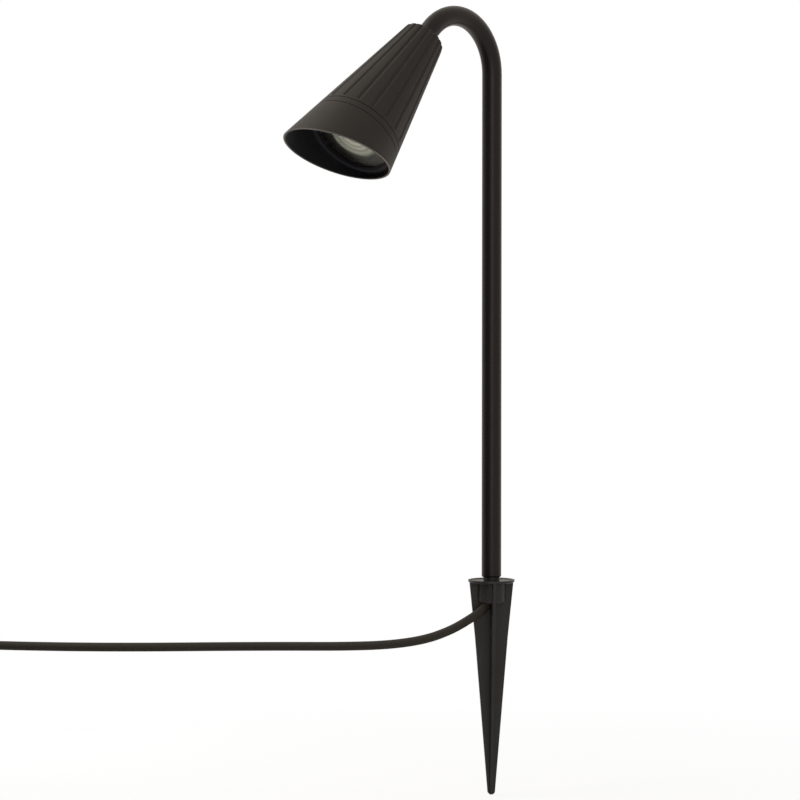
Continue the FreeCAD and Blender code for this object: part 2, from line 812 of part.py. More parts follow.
def tangent_arc(start, way, end, backwards=False):
    chord = end - start
    along = chord.normalize()
    half = along.getAngle(way)
    length = (end - start).Length
    sag = length / 2 * math.tan(half / 2)
    outward = (way - along * way.dot(along)).normalize()
    middle = (start + end) * 0.5 + outward * sag
    return Part.Arc(end, middle, start) if backwards else Part.Arc(start, middle, end)


TURNS_IN = 2.0
TURNS_CLIMB = 0.5
TURNS_OUT = 1.5
STEPS_PER_TURN = 4
SAMPLES_PER_TURN = 72
coil_step = s.lead_diameter + s.coil_gap


def coil_point(turn):
    """A point of the coil: it spirals in on the soil, climbs a layer and spirals out again."""
    step = float(coil_step)
    low = float(s.coil_lift + lead_radius)
    inner = float(s.coil_outer_radius) - step * TURNS_IN
    if turn <= TURNS_IN:
        radius = float(s.coil_outer_radius) - step * turn
        height = low
    elif turn < TURNS_IN + TURNS_CLIMB:
        done = turn - TURNS_IN
        radius = inner - step * done + step * done ** 2 / TURNS_CLIMB
        share = done / TURNS_CLIMB
        height = low + step * share ** 2 * (3 - 2 * share)
    else:
        radius = inner + step * (turn - TURNS_IN - TURNS_CLIMB)
        height = low + step
    angle = 2 * math.pi * turn
    centre = Vector(float(s.coil_along), float(s.coil_across), height)
    return centre + Vector(radius * math.sin(angle), radius * math.cos(angle), 0)


def coil_way(turn):
    nudge = 1e-5
    return (coil_point(turn + nudge) - coil_point(turn - nudge)).normalize()


def least_coil_gap(total):
    """Least clear distance between turns, measured on points more than half a turn apart."""
    count = int(total * SAMPLES_PER_TURN)
    points = [coil_point(total * i / count) for i in range(count + 1)]
    apart = SAMPLES_PER_TURN // 2
    least = min((a - b).Length for i, a in enumerate(points) for b in points[i + apart:])
    return least - float(s.lead_diameter)


def make_lead():
    """The free stretch from the gland along the soil, then the coil with its real turns."""
    exit_start, exit_way = lead_exit()
    exit_turn = float(s.spike_turn) + EXIT_TURN - float(s.lead_heading)
    to_lead_frame = Rotation(Vector(0, 0, 1), exit_turn)
    start = to_lead_frame.multVec(exit_start)
    way = to_lead_frame.multVec(exit_way)
    total = TURNS_IN + TURNS_CLIMB + TURNS_OUT
    coil_start = coil_point(0) - coil_way(0) * float(s.lead_diameter)
    points = [start, start + way * FIRST_RUN] + [Vector(*point) for point in ROUTE]
    points += [coil_start - coil_way(0) * LAST_RUN, coil_start]
    edges, radii = rounded_path(points)
    print("lead radii", radii)
    lead = solid_feature("supply_lead", round_tube(edges, float(lead_radius)))
    lead.Placement = lead_place

    edges = [Part.LineSegment(coil_start, coil_point(0)).toShape()]
    steps = int(total * STEPS_PER_TURN)
    for i in range(steps):
        first = i / STEPS_PER_TURN
        second = (i + 1) / STEPS_PER_TURN
        arcs = biarc(coil_point(first), coil_way(first), coil_point(second), coil_way(second))
        edges.extend(arc.toShape() for arc in arcs)
    tail_end = coil_point(total) + coil_way(total) * float(s.tail_length)
    edges.append(Part.LineSegment(coil_point(total), tail_end).toShape())
    coil = solid_feature("lead_coil", round_tube(edges, float(lead_radius)))
    coil.Placement = lead_place
    print("least coil gap", round(least_coil_gap(total), 2))
    return tail_end, coil_way(total)


def make_coil_tie():
    """A band round the four turns on the side of the coil where they lie square."""
    near = coil_point(0.75)
    far = coil_point(1.75)
    middle = (near + far) * 0.5
    body = new_body("coil_tie")
    half_wide = coil_step / 2 + lead_radius + s.tie_room
    low = s.coil_lift - s.turn_gap
    high = s.coil_lift + 2 * lead_radius + coil_step + s.turn_gap
    wall = s.tie_thickness
    sketch = new_sketch(body, "XZ_Plane")
    add_polygon(sketch, [(-half_wide - wall, low - wall), (half_wide + wall, low - wall),
                         (half_wide + wall, high + wall), (-half_wide - wall, high + wall)])
    add_polygon(sketch, [(-half_wide, low), (half_wide, low), (half_wide, high), (-half_wide, high)])
    pad(body, sketch, s.tie_width, midplane=True)
    spot = Vector(middle.x, middle.y, 0)
    body.Placement = lead_place.multiply(Placement(spot, Rotation()))


def make_connector(start, way):
    """Round waterproof connector: gland nut, body, and a barrel with two contacts in its face."""
    axis = Rotation(Vector(0, 0, 1), way)
    place = lead_place.multiply(Placement(start, axis))
    gland = s.connector_gland_diameter / 2
    nose = lead_radius + s.connector_edge * 2
    gland_end = s.connector_gland_length
    body_end = gland_end + s.connector_length
    outer = s.connector_diameter / 2
    waist = outer - 2 * s.connector_edge
    barrel = s.barrel_diameter / 2
    barrel_end = body_end + s.barrel_length
    face = barrel_end + s.connector_edge
    turned("connector_gland", [(0, 0), (nose, 0), (gland, gland_end / 3), (gland, gland_end), (0, gland_end)])
    quarter = s.connector_length / 4
    turned("connector_body", [
        (0, gland_end), (outer - s.connector_edge, gland_end), (outer, gland_end + s.connector_edge),
        (outer, gland_end + quarter), (waist, gland_end + quarter + s.connector_edge),
        (waist, body_end - quarter - s.connector_edge), (outer, body_end - quarter),
        (outer, body_end - s.connector_edge), (outer - s.connector_edge, body_end), (0, body_end)])
    turned("connector_barrel", [(0, body_end), (barrel, body_end), (barrel, barrel_end),
                                (barrel - s.connector_edge, face), (0, face)])
    pair_of_rods("connector_pins", s.contact_diameter, s.contact_spacing, face, face + s.contact_length)
    for piece in pieces[-4:]:
        piece.Placement = place


# Build everything, check it and write one file for each piece

make_ground_spike()
make_lead_gland()
make_post()
make_foot_joint()
make_head_shell()
make_head_joint()
make_holder_bracket()
make_lamp_holder()
make_holder_screws()
make_lamp()
make_front()
make_hood()
lead_end, lead_end_way = make_lead()
make_coil_tie()
make_connector(lead_end, lead_end_way)
doc.recompute()

failed = [item.Label for item in doc.Objects if {"Invalid", "Error"} & set(item.State)]
failed += [piece.Label for piece in pieces if piece.Shape.isNull() or not piece.Shape.isValid()]
if failed:
    raise RuntimeError(f"not built: {failed}")

os.makedirs("parts", exist_ok=True)
for piece in pieces:
    piece.Shape.exportStep(f"parts/{piece.Label}.step")
    print(piece.Label, len(piece.Shape.Solids), round(piece.Shape.Volume, 1))
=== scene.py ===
# %% [markdown]
# # A garden spike light
# The light is a bent steel tube on a plastic ground spike, with a fluted cast head, an oblique hood and a
# rubber lead that runs off along the soil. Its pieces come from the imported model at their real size, in
# metres. The origin is on the post's axis at the soil line and +Z is up. This script gives the pieces their
# finishes, lays the lead as one smooth curve, and sets up the camera, the floor and the light.

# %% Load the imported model
import json
import math

import bpy
from mathutils import Matrix, Vector


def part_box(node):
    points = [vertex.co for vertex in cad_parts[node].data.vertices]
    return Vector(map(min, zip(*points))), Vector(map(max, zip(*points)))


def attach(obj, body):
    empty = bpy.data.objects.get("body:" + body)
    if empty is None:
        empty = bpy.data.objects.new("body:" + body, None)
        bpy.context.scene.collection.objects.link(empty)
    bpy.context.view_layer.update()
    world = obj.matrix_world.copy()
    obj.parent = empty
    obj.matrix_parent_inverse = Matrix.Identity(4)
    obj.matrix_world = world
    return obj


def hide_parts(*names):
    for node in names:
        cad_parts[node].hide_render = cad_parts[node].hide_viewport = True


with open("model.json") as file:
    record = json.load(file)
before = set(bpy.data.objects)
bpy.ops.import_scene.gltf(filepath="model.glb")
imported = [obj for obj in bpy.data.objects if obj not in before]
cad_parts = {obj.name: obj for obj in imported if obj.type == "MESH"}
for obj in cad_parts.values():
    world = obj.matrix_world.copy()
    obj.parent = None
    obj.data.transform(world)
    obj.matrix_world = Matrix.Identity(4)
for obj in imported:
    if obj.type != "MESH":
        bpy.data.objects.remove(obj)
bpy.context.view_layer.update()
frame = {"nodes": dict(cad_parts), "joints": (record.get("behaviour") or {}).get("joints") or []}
nodes = frame["nodes"]
MM = 0.001

# %% [markdown]
# ## The camera
# A product shot like this is taken from far away with a long lens, so that the post stays straight. The
# view is 41 degrees round from the front and just under 3 degrees above level. The camera aims at a point
# beside the post, because the head and the lead reach out to one side of it.

# %% Place the camera
VIEW_AZIMUTH = math.radians(41.04)
VIEW_ELEVATION = math.radians(2.77)
VIEW_DISTANCE = 2915 * MM
AIM_BESIDE_POST = 71.7 * MM
AIM_HEIGHT = 195.2 * MM
SENSOR = 36.0
LENS = 167.6
FAR_CLIP = 50

toward_camera = Vector((math.sin(VIEW_AZIMUTH), -math.cos(VIEW_AZIMUTH), 0))
picture_left = Vector((-math.cos(VIEW_AZIMUTH), -math.sin(VIEW_AZIMUTH), 0))
view_back = toward_camera * math.cos(VIEW_ELEVATION) + Vector((0, 0, math.sin(VIEW_ELEVATION)))
aim = picture_left * AIM_BESIDE_POST + Vector((0, 0, AIM_HEIGHT))

camera_data = bpy.data.cameras.new("camera")
camera_data.sensor_width = SENSOR
camera_data.lens = LENS
camera_data.clip_end = FAR_CLIP
camera = bpy.data.objects.new("camera", camera_data)
camera.location = aim + view_back * VIEW_DISTANCE
camera.rotation_euler = view_back.to_track_quat("Z", "Y").to_euler()
bpy.context.scene.collection.objects.link(camera)
bpy.context.scene.camera = camera
print("camera at", [round(x, 3) for x in camera.location])

# %% [markdown]
# ## The lead
# A 7 mm rubber lead leaves the gland under the spike's hub, drops to the soil and runs off to the left.
# Such lights come with about a metre and a half of it. What the picture doesn't show is wound into a neat
# coil just past the picture's edge: two turns inwards, half a turn to climb a layer, and a turn and a half
# outwards to the connector. A NURBS curve with the route's points as control points bends as softly as a
# real lead, which a chain of straight pieces would not. Its bevel is 1 and each point's radius is half the
# lead's thickness, because Blender adds the points' radii to the curve's box, and so the box comes out
# right.

# %% Lay out the route to the coil
LEAD_DIAMETER = 7 * MM
LEAD_HEADING = math.radians(221)
EXIT_TURN = math.radians(-86)
EXIT_DIP = math.radians(31)
# From here to the curve, lengths are millimetres, and a point is along the heading, across it and up
EXIT_HEIGHT = 37.9
FIRST_RUN = 13
ROUTE = [
    (17.5, 15.0, 24.3),
    (32.0, 19.5, 16.3),
    (52.0, 22.5, 9.3),
    (80.0, 23.5, 5.3),
    (116.0, 22.0, 4.0),
    (160.0, 18.2, 3.7),
    (210.0, 19.0, 3.6),
    (262.0, 23.2, 3.6),
    (316.0, 23.0, 3.6),
    (368.0, 18.6, 3.9),
]

to_row = Matrix.Rotation(LEAD_HEADING, 3, "Z")
exit_frame = Matrix.Rotation(EXIT_TURN - LEAD_HEADING, 3, "Z")
exit_point = Vector((0, 0, EXIT_HEIGHT))
exit_way = exit_frame @ Vector((math.cos(EXIT_DIP), 0, -math.sin(EXIT_DIP)))
lead_points = [exit_point, exit_point + exit_way * FIRST_RUN] + [Vector(point) for point in ROUTE]
print("route of", len(lead_points), "points to the coil")

# %% Wind the coil
LAST_RUN = 40
COIL_CENTRE = Vector((447, -32, 4.7))
COIL_OUTER_RADIUS = 48
COIL_STEP = 7.7
TURNS_IN, TURNS_CLIMB, TURNS_OUT = 2.0, 0.5, 1.5
TAIL_LENGTH = 40
TAIL_SHARES = (0.4, 1)
POINTS_PER_TURN = 24
TURN_NUDGE = 0.001


def coil_point(turn):
    """A point of the coil in millimetres: in along the soil, up a layer and out again."""
    inner = COIL_OUTER_RADIUS - COIL_STEP * TURNS_IN
    climb = min(max(turn - TURNS_IN, 0) / TURNS_CLIMB, 1)
    if turn <= TURNS_IN:
        radius = COIL_OUTER_RADIUS - COIL_STEP * turn
    elif climb < 1:
        done = turn - TURNS_IN
        radius = inner - COIL_STEP * done + COIL_STEP * done ** 2 / TURNS_CLIMB
    else:
        radius = inner + COIL_STEP * (turn - TURNS_IN - TURNS_CLIMB)
    angle = 2 * math.pi * turn
    rise = COIL_STEP * climb ** 2 * (3 - 2 * climb)
    return COIL_CENTRE + Vector((radius * math.sin(angle), radius * math.cos(angle), rise))


def coil_way(turn):
    """The direction in which the coil runs there."""
    return (coil_point(turn + TURN_NUDGE) - coil_point(turn - TURN_NUDGE)).normalized()


turns = TURNS_IN + TURNS_CLIMB + TURNS_OUT
coil_start = coil_point(0) - coil_way(0) * LEAD_DIAMETER / MM
lead_points += [coil_start - coil_way(0) * LAST_RUN, coil_start]
lead_points += [coil_point(i / POINTS_PER_TURN) for i in range(int(turns * POINTS_PER_TURN) + 1)]
lead_points += [coil_point(turns) + coil_way(turns) * TAIL_LENGTH * share for share in TAIL_SHARES]
print("coil of", turns, "turns, and", len(lead_points), "points in all")

# %% Draw the lead along its route
CURVE_STEPS = 6
CURVE_ORDER = 3

lead_curve = bpy.data.curves.new("supply_lead_curve", "CURVE")
lead_curve.dimensions = "3D"
lead_curve.resolution_u = CURVE_STEPS
lead_curve.bevel_depth = 1
lead_curve.bevel_resolution = CURVE_STEPS
lead_curve.use_fill_caps = True
spline = lead_curve.splines.new("NURBS")
spline.points.add(len(lead_points) - 1)
for point, place in zip(spline.points, lead_points):
    point.co = (*(to_row @ place * MM), 1)
    point.radius = LEAD_DIAMETER / 2
spline.order_u = CURVE_ORDER
spline.use_endpoint_u = True
lead = bpy.data.objects.new("rubber_lead", lead_curve)
bpy.context.scene.collection.objects.link(lead)
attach(lead, "spike")
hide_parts("supply_lead", "lead_coil")

# %% [markdown]
# ## Tools for the finishes
# Colours are written as sRGB hex values, as a paint chart gives them, and one function turns them to the
# linear values that a shader needs. One more function adds a node, sets it and links it, so each finish
# below reads as a short list of what its surface is made of. The last one puts a finish on pieces: it fills
# their material slot and leaves their meshes alone.

# %% Colour and node helpers
def linear(hex_colour):
    """A hex colour as the linear RGBA that Blender's sockets take."""
    channels = [int(hex_colour[i:i + 2], 16) / 255 for i in (1, 3, 5)]
    return tuple(c / 12.92 if c <= 0.04045 else ((c + 0.055) / 1.055) ** 2.4 for c in channels) + (1.0,)


def add_node(material, kind, inputs=None, **settings):
    """Add a node, set it, and fill its inputs with values or with links from other nodes' outputs."""
    node = material.node_tree.nodes.new(kind)
    for name, value in settings.items():
        setattr(node, name, value)
    for name, value in (inputs or {}).items():
        if isinstance(value, bpy.types.NodeSocket):
            material.node_tree.links.new(value, node.inputs[name])
        else:
            node.inputs[name].default_value = value
    return node


def new_material(name):
    """A new material, its principled shader and the object's own coordinates."""
    material = bpy.data.materials.new(name)
    material.use_nodes = True
    shader = material.node_tree.nodes["Principled BSDF"]
    place = add_node(material, "ShaderNodeTexCoord").outputs["Object"]
    return material, shader, place


def per_size(millimetres):
    """A texture scale whose features are about that many millimetres apart."""
    return 1 / (millimetres * MM)


def connect(material, output, socket):
    """Link an output to a socket of the same material."""
    material.node_tree.links.new(output, socket)


def dress(material, *names):
    """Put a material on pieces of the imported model."""
    for name in names:
        nodes[name].data.materials[0] = material


print("middle grey in linear light", round(linear("#808080")[0], 3))

# %% [markdown]
# ## Powder-coated die casting
# The head, its ring and its hood are cast aluminium with a baked powder coat. Powder melts into a skin with
# a fine orange-peel texture, so it is dull, shows no sharp reflection, and turns a little paler where light
# grazes it. Inside, the hood and the ring are painted a flat blue-black as shade. The outer edge of the
# hood's cut is painted pale as a highlight, and so, a little, are the rest of the cut and the ring's lip.
# Painting masks by hand would tie them to one mesh, so they are worked out from where a point lies: how deep
# under the head's outer cone, and how close to the slanting cut.

# %% Where a point lies in the head
hood_turn = next(joint for joint in frame["joints"] if joint["name"] == "hood_turn")
HEAD_ORIGIN = Vector(hood_turn["pos_m"])
HEAD_AXIS = Vector(hood_turn["axis"])
HEAD_UP = HEAD_AXIS.cross(Vector((1, 0, 0)))
REAR_RADIUS = 16.7 * MM
FLARE = math.tan(math.radians(10.2))
HOOD_CUT = 131.5 * MM
RING_LIP = 112.05 * MM
HOOD_SLANT = math.tan(math.radians(21.6))


def from_head(material, place):
    """The offset of a place from the head's origin."""
    offset = add_node(material, "ShaderNodeVectorMath", {0: place, 1: HEAD_ORIGIN}, operation="SUBTRACT")
    return offset.outputs["Vector"]


def off_axis(material, offset):
    """Distance from the head's axis: the length of the offset's cross product with it."""
    across = add_node(material, "ShaderNodeVectorMath", {0: offset, 1: HEAD_AXIS},
                      operation="CROSS_PRODUCT")
    length = add_node(material, "ShaderNodeVectorMath", {0: across.outputs["Vector"]}, operation="LENGTH")
    return length.outputs["Value"]


print("head axis", [round(x, 3) for x in HEAD_AXIS])

# %% Painted shade inside and painted highlights on the edges
# Blue-black painted as shade inside the hood and the ring.
INSIDE_PAINTED_SHADE = "#0B0B15"
# Pale colours painted as highlights: the hood's outer cut edge, the rest of the cut, and the ring's lip.
RIM_PAINTED_HIGHLIGHT = "#6E6B69"
CUT_PAINTED_HIGHLIGHT = "#474644"
LIP_PAINTED_HIGHLIGHT = "#2C2C34"
SKIN_DEPTH, INSIDE_DEPTH = 0.6 * MM, 1.0 * MM
RIM_START, RIM_FULL = HOOD_CUT - 0.7 * MM, HOOD_CUT - 0.3 * MM
LIP_HALF = 0.2 * MM


def painted_shade_and_highlights(material, place, tone):
    """The paint's colour, with painted shade inside the cone and painted highlights along the cut and the
    ring's lip.
    """
    offset = from_head(material, place)
    along = add_node(material, "ShaderNodeVectorMath", {0: offset, 1: HEAD_AXIS}, operation="DOT_PRODUCT")
    height = along.outputs["Value"]
    radius = off_axis(material, offset)
    cone = add_node(material, "ShaderNodeMath", {0: height, 1: FLARE, 2: REAR_RADIUS},
                    operation="MULTIPLY_ADD")
    depth = add_node(material, "ShaderNodeMath", {0: cone.outputs[0], 1: radius}, operation="SUBTRACT")
    inside = add_node(material, "ShaderNodeMapRange",
                      {"Value": depth.outputs[0], "From Min": SKIN_DEPTH, "From Max": INSIDE_DEPTH})
    up = add_node(material, "ShaderNodeVectorMath", {0: offset, 1: HEAD_UP}, operation="DOT_PRODUCT")
    level = add_node(material, "ShaderNodeMath", {0: up.outputs["Value"], 1: -HOOD_SLANT, 2: height},
                     operation="MULTIPLY_ADD")
    rim = add_node(material, "ShaderNodeMapRange",
                   {"Value": level.outputs[0], "From Min": RIM_START, "From Max": RIM_FULL})
    lip = add_node(material, "ShaderNodeMath", {0: height, 1: RING_LIP, 2: LIP_HALF}, operation="COMPARE")
    dark = add_node(material, "ShaderNodeMix",
                    {"Factor": lip.outputs[0], "A": linear(INSIDE_PAINTED_SHADE), "B": linear(LIP_PAINTED_HIGHLIGHT)},
                    data_type="RGBA")
    cut = add_node(material, "ShaderNodeMix",
                   {"Factor": rim.outputs["Result"], "A": dark.outputs["Result"], "B": linear(CUT_PAINTED_HIGHLIGHT)},
                   data_type="RGBA")
    # A pale highlight painted along the outer edge of the hood's cut.
    wear_and_highlight = add_node(material, "ShaderNodeMix",
                    {"Factor": rim.outputs["Result"], "A": tone, "B": linear(RIM_PAINTED_HIGHLIGHT)}, data_type="RGBA")
    both = add_node(material, "ShaderNodeMix",
                    {"Factor": inside.outputs["Result"], "A": wear_and_highlight.outputs["Result"],
                     "B": cut.outputs["Result"]}, data_type="RGBA")
    return both.outputs["Result"]


# The pale rim is a painted highlight; this prints the width of its fade.
print("worn rim", round((RIM_FULL - RIM_START) / MM, 2), "mm from bare to full")

# %% [markdown]
# The coat itself is two noises. A fine one is the orange peel: it sets the roughness and a slight bump. A
# coarse one shifts the colour in soft clouds. A Bevel node rounds the shading over the flutes' and the
# grooves' sharp edges, because paint always draws back from a corner, and that leaves the mesh as it is.

# %% Head paint
HEAD_BLACK = "#211D1A"
HEAD_BLACK_PALE = "#282421"
EDGE_ROUND = 1.0 * MM
PEEL_MM, CLOUD_MM = 0.9, 24
PEEL_DEPTH = 0.1 * MM
HEAD_ROUGH_LOW, HEAD_ROUGH_HIGH = 0.5, 0.64
HEAD_SHINE = 0.34


def powder_coated_casting(name, hooded):
    """Dull powder coat over a casting, with painted shade inside and painted highlights on the cut for the
    pieces that make the hood.
    """
    material, shader, place = new_material(name)
    peel = add_node(material, "ShaderNodeTexNoise",
                    {"Vector": place, "Scale": per_size(PEEL_MM), "Detail": 3.0, "Roughness": 0.6})
    clouds = add_node(material, "ShaderNodeTexNoise",
                      {"Vector": place, "Scale": per_size(CLOUD_MM), "Detail": 4.0})
    tone = add_node(material, "ShaderNodeMix",
                    {"Factor": clouds.outputs["Fac"], "A": linear(HEAD_BLACK), "B": linear(HEAD_BLACK_PALE)},
                    data_type="RGBA").outputs["Result"]
    if hooded:
        tone = painted_shade_and_highlights(material, place, tone)
    dull = add_node(material, "ShaderNodeMapRange",
                    {"Value": peel.outputs["Fac"], "To Min": HEAD_ROUGH_LOW, "To Max": HEAD_ROUGH_HIGH})
    rounded = add_node(material, "ShaderNodeBevel", {"Radius": EDGE_ROUND}, samples=6)
    bump = add_node(material, "ShaderNodeBump",
                    {"Height": peel.outputs["Fac"], "Strength": 0.18, "Distance": PEEL_DEPTH,
                     "Normal": rounded.outputs["Normal"]})
    connect(material, tone, shader.inputs["Base Color"])
    connect(material, dull.outputs["Result"], shader.inputs["Roughness"])
    connect(material, bump.outputs["Normal"], shader.inputs["Normal"])
    shader.inputs["Specular IOR Level"].default_value = HEAD_SHINE
    return material


dress(powder_coated_casting("powder_coated_casting", hooded=False), "head_shell")
# The hood and the ring get painted shade inside and painted highlights along the cut.
hood_paint = powder_coated_casting("powder_coated_casting_shade_and_highlights", hooded=True)
dress(hood_paint, "front_ring", "hood")
print("painted the head with", len(hood_paint.node_tree.nodes), "nodes")

# %% [markdown]
# ## Powder-coated tube
# The post has the same black, but over drawn steel tube the coat flows out smoother. It is satin, so the
# studio shows in it as soft stripes along the tube.

# %% Tube paint
TUBE_BLACK = "#151211"
TUBE_PEEL_MM = 2.2
TUBE_ROUGH_LOW, TUBE_ROUGH_HIGH = 0.32, 0.41
TUBE_SHINE = 0.36


def powder_coated_tube():
    """Satin powder coat over drawn tube."""
    material, shader, place = new_material("powder_coated_tube")
    peel = add_node(material, "ShaderNodeTexNoise",
                    {"Vector": place, "Scale": per_size(TUBE_PEEL_MM), "Detail": 2.0})
    bump = add_node(material, "ShaderNodeBump",
                    {"Height": peel.outputs["Fac"], "Strength": 0.08, "Distance": PEEL_DEPTH})
    dull = add_node(material, "ShaderNodeMapRange",
                    {"Value": peel.outputs["Fac"], "To Min": TUBE_ROUGH_LOW, "To Max": TUBE_ROUGH_HIGH})
    connect(material, dull.outputs["Result"], shader.inputs["Roughness"])
    connect(material, bump.outputs["Normal"], shader.inputs["Normal"])
    shader.inputs["Base Color"].default_value = linear(TUBE_BLACK)
    shader.inputs["Specular IOR Level"].default_value = TUBE_SHINE
    return material


TUBE_PIECES = ("post_tube", "foot_plug", "head_plug")
dress(powder_coated_tube(), *TUBE_PIECES)
print("tube paint on", TUBE_PIECES)

# %% [markdown]
# ## Moulded polypropylene
# The spike is a plain black moulding. The mould was spark eroded, so the plastic has a fine even grain, and
# pushing it into gravel leaves it a little scuffed along its length. The corners where the fins meet are
# painted darker as shade: an Ambient Occlusion node finds them, which a painted mask would have to follow
# by hand.

# %% Spike plastic
SPIKE_BLACK = "#262829"
SPIKE_SCUFFED = "#313334"
# A near-black painted as shade into the corners between the fins.
SPIKE_PAINTED_SHADE = "#0C0C0C"
CORNER_REACH = 1.6 * MM
# Real spark-eroded grain is a tenth of a millimetre, too fine to show here, so it is drawn coarser
GRAIN_MM, SCUFF_MM = 0.6, 7
GRAIN_DEPTH = 0.1 * MM
SCUFF_STRETCH = (1.0, 1.0, 0.15)
SPIKE_ROUGH_LOW, SPIKE_ROUGH_HIGH = 0.42, 0.55
SPIKE_SHINE = 0.34


def moulded_polypropylene():
    """Grained black plastic, scuffed along its length, with painted shade in its corners."""
    material, shader, place = new_material("moulded_polypropylene")
    grain = add_node(material, "ShaderNodeTexNoise",
                     {"Vector": place, "Scale": per_size(GRAIN_MM), "Detail": 3.0, "Roughness": 0.65})
    streaks = add_node(material, "ShaderNodeMapping", {"Vector": place, "Scale": SCUFF_STRETCH})
    scuffs = add_node(material, "ShaderNodeTexNoise",
                      {"Vector": streaks.outputs["Vector"], "Scale": per_size(SCUFF_MM), "Detail": 5.0,
                       "Roughness": 0.6})
    wear_and_highlight = add_node(material, "ShaderNodeMapRange",
                    {"Value": scuffs.outputs["Fac"], "From Min": 0.45, "From Max": 0.75})
    tone = add_node(material, "ShaderNodeMix",
                    {"Factor": wear_and_highlight.outputs["Result"], "A": linear(SPIKE_BLACK), "B": linear(SPIKE_SCUFFED)},
                    data_type="RGBA")
    # Painted shade: where the Ambient Occlusion node finds a corner closed in, the colour goes darker.
    open_sky = add_node(material, "ShaderNodeAmbientOcclusion", {"Distance": CORNER_REACH}, samples=8)
    unshaded = add_node(material, "ShaderNodeMapRange",
                     {"Value": open_sky.outputs["AO"], "From Min": 0.5, "From Max": 0.8})
    corner_shaded = add_node(material, "ShaderNodeMix",
                      {"Factor": unshaded.outputs["Result"], "A": linear(SPIKE_PAINTED_SHADE),
                       "B": tone.outputs["Result"]}, data_type="RGBA")
    dull = add_node(material, "ShaderNodeMapRange",
                    {"Value": wear_and_highlight.outputs["Result"], "To Min": SPIKE_ROUGH_LOW, "To Max": SPIKE_ROUGH_HIGH})
    bump = add_node(material, "ShaderNodeBump",
                    {"Height": grain.outputs["Fac"], "Strength": 0.15, "Distance": GRAIN_DEPTH})
    connect(material, corner_shaded.outputs["Result"], shader.inputs["Base Color"])
    connect(material, dull.outputs["Result"], shader.inputs["Roughness"])
    connect(material, bump.outputs["Normal"], shader.inputs["Normal"])
    shader.inputs["Specular IOR Level"].default_value = SPIKE_SHINE
    return material


spike_plastic = moulded_polypropylene()
dress(spike_plastic, "ground_spike")
print("spike plastic of", len(spike_plastic.node_tree.nodes), "nodes")

# %% [markdown]
# ## Rubber
# The lead's sheath is extruded chloroprene rubber: dull, nearly black, with a soft mottle where it was
# dusted with talc. The gland and the seals are moulded from a denser black rubber.

# %% Rubber sheath
SHEATH_BLACK = "#25221E"
SHEATH_DUSTED = "#322F2A"
# The pores of extruded rubber are finer than this, and are drawn as coarse as they need to show
PORE_MM, DUST_MM = 0.5, 3
PORE_DEPTH = 0.1 * MM
SHEATH_ROUGH = 0.62
RUBBER_SHINE = 0.3


def chloroprene_sheath():
    """Extruded rubber with fine pores and a dusting of talc."""
    material, shader, place = new_material("chloroprene_sheath")
    dust = add_node(material, "ShaderNodeTexNoise",
                    {"Vector": place, "Scale": per_size(DUST_MM), "Detail": 5.0, "Roughness": 0.7})
    pores = add_node(material, "ShaderNodeTexNoise",
                     {"Vector": place, "Scale": per_size(PORE_MM), "Detail": 2.0})
    tone = add_node(material, "ShaderNodeMix",
                    {"Factor": dust.outputs["Fac"], "A": linear(SHEATH_BLACK), "B": linear(SHEATH_DUSTED)},
                    data_type="RGBA")
    bump = add_node(material, "ShaderNodeBump",
                    {"Height": pores.outputs["Fac"], "Strength": 0.2, "Distance": PORE_DEPTH})
    connect(material, tone.outputs["Result"], shader.inputs["Base Color"])
    connect(material, bump.outputs["Normal"], shader.inputs["Normal"])
    shader.inputs["Roughness"].default_value = SHEATH_ROUGH
    shader.inputs["Specular IOR Level"].default_value = RUBBER_SHINE
    return material


SHEATH_PIECES = ("inner_lead", "supply_lead", "lead_coil")
sheath = chloroprene_sheath()
lead_curve.materials.append(sheath)
dress(sheath, *SHEATH_PIECES)
print("sheath on the lead's curve and", SHEATH_PIECES)

# %% Rubber seals
SEAL_BLACK = "#161616"
SEAL_BLOOM = "#222120"
BLOOM_MM = 5
SEAL_ROUGH = 0.7


def moulded_rubber():
    """Dense black rubber with a faint bloom."""
    material, shader, place = new_material("moulded_rubber")
    bloom = add_node(material, "ShaderNodeTexNoise",
                     {"Vector": place, "Scale": per_size(BLOOM_MM), "Detail": 4.0})
    tone = add_node(material, "ShaderNodeMix",
                    {"Factor": bloom.outputs["Fac"], "A": linear(SEAL_BLACK), "B": linear(SEAL_BLOOM)},
                    data_type="RGBA")
    connect(material, tone.outputs["Result"], shader.inputs["Base Color"])
    shader.inputs["Roughness"].default_value = SEAL_ROUGH
    shader.inputs["Specular IOR Level"].default_value = RUBBER_SHINE
    return material


SEAL_PIECES = ("lead_gland", "neck_seal", "front_gasket")
dress(moulded_rubber(), *SEAL_PIECES)
print("rubber on", SEAL_PIECES)

# %% [markdown]
# ## Metals inside
# The hollow screws, nuts, washers and the bracket are zinc-plated steel, the lamp's bowl is pressed
# aluminium, and the contacts are brass. Plating is never quite even, so its roughness varies in soft
# patches.

# %% Zinc, aluminium and brass
def worked_metal(name, colour, rough_low, rough_high, patch):
    """Bare or plated metal whose roughness varies in patches so many millimetres wide."""
    material, shader, place = new_material(name)
    patches = add_node(material, "ShaderNodeTexNoise",
                       {"Vector": place, "Scale": per_size(patch), "Detail": 4.0})
    rough = add_node(material, "ShaderNodeMapRange",
                     {"Value": patches.outputs["Fac"], "To Min": rough_low, "To Max": rough_high})
    connect(material, rough.outputs["Result"], shader.inputs["Roughness"])
    shader.inputs["Base Color"].default_value = linear(colour)
    shader.inputs["Metallic"].default_value = 1.0
    return material


